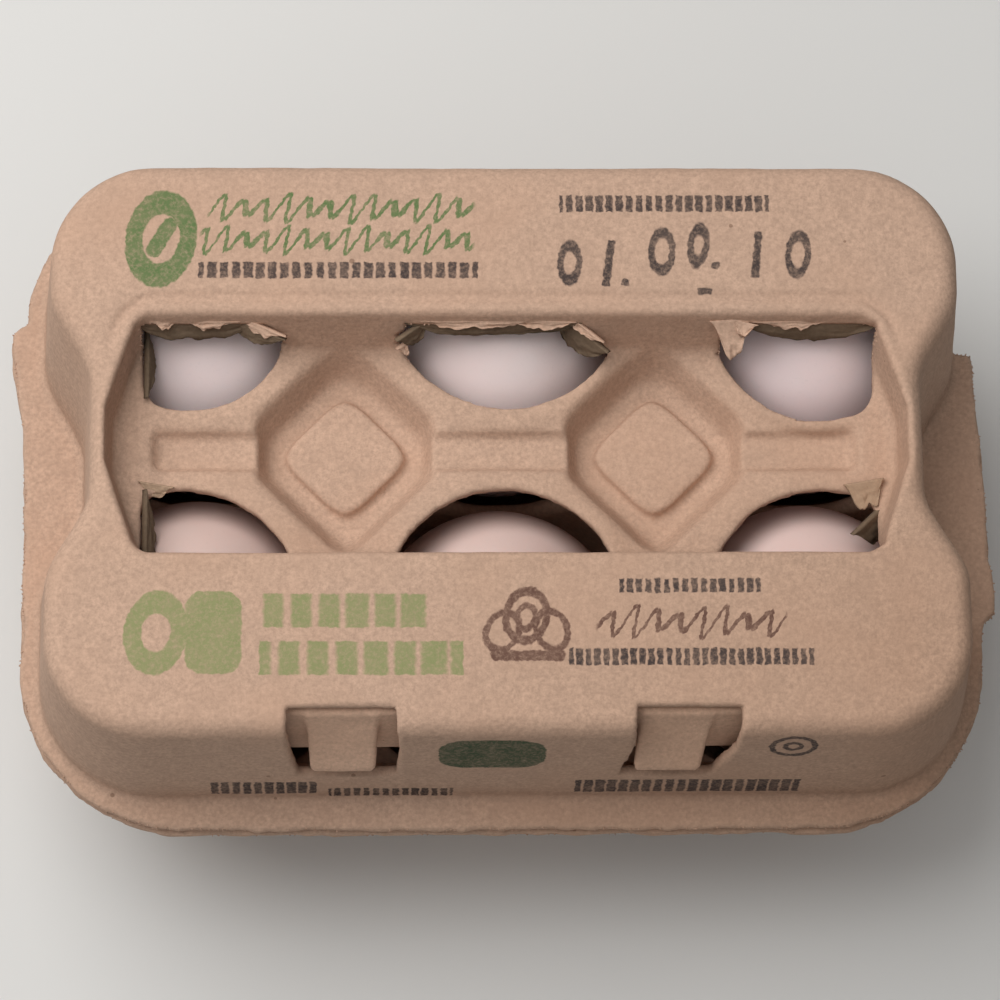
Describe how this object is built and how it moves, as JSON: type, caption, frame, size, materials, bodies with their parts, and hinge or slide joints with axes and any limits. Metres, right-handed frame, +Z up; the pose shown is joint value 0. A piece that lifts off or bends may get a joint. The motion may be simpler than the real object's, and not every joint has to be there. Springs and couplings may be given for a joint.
{
  "type": "egg carton with eggs",
  "caption": "Moulded-pulp egg carton with a hinged, waisted lid, view windows along a sunk trough, a tabbed closure flap, and the eggs standing in its cups.",
  "frame": {"origin": "middle of the bounding box in plan, on the table under the cups", "axes": "+Z up, +X along the long side, the closure at the front (-Y), the lid's hinge at the rear (+Y)"},
  "size_m": [0.1572, 0.108, 0.0685],
  "materials": {
    "pulp": "matte moulded pulp",
    "eggshell": "satin eggshell"
  },
  "bodies": {
    "base": {"tray": "pulp", "closure_flap": "pulp", "egg_1": "eggshell", "egg_2": "eggshell", "egg_3": "eggshell", "egg_4": "eggshell", "egg_5": "eggshell", "egg_6": "eggshell"},
    "cover": {"lid": "pulp"}
  },
  "joints": [
    {"name": "lid_hinge", "type": "hinge", "parent": "base", "child": "cover", "pos_m": [0, 0.05415, 0.03655], "axis": [-1, 0, 0], "range_deg": [0, 180], "deforming": ["closure_flap"]}
  ]
}
